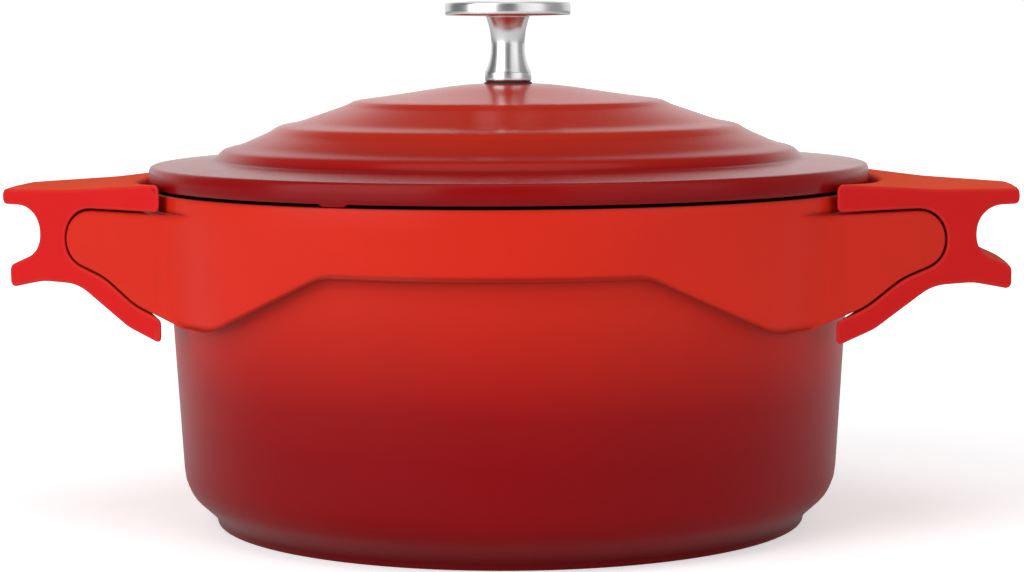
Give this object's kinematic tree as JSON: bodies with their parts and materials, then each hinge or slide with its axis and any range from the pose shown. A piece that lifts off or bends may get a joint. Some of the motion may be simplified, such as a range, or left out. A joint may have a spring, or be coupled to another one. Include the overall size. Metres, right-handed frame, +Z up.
{
  "type": "dutch oven",
  "caption": "Round enamelled cast iron dutch oven with a stepped lift-off lid, a steel mushroom knob and push-on silicone side grips.",
  "frame": {"origin": "centre of the foot ring, on the surface that the pot stands on", "axes": "+Z up along the pot's axis, +X from the pot's centre to the right grip, -Y towards the front"},
  "size_m": [0.3612, 0.256, 0.1853],
  "materials": {
    "enamel_pot": "gloss enamel",
    "enamel_lid": "satin",
    "grip_silicone": "matte",
    "knob_steel": "brushed",
    "gasket_rubber": "matte",
    "fixing_steel": "satin"
  },
  "bodies": {
    "pot": {"pot_casting": "enamel_pot"},
    "lid_axis": {"knob_screw": "fixing_steel", "flat_washer": "fixing_steel", "spring_washer": "fixing_steel"},
    "lid": {"lid_casting": "enamel_lid", "knob_gasket": "gasket_rubber", "knob_collar": "knob_steel", "knob_stem": "knob_steel", "knob_disc": "knob_steel"},
    "left_grip": {"left_grip": "grip_silicone"},
    "right_grip": {"right_grip": "grip_silicone"}
  },
  "joints": [
    {"name": "lid_lift", "type": "slide", "parent": "pot", "child": "lid_axis", "axis": [0, 0, 1], "range_m": [0, 0.12]},
    {"name": "lid_turn", "type": "hinge", "parent": "lid_axis", "child": "lid", "pos_m": [0, 0, 0.15], "axis": [0, 0, 1], "continuous": true},
    {"name": "left_grip_pull", "type": "slide", "parent": "pot", "child": "left_grip", "axis": [-1, 0, 0], "range_m": [0, 0.05]},
    {"name": "right_grip_pull", "type": "slide", "parent": "pot", "child": "right_grip", "axis": [1, 0, 0], "range_m": [0, 0.05]}
  ]
}
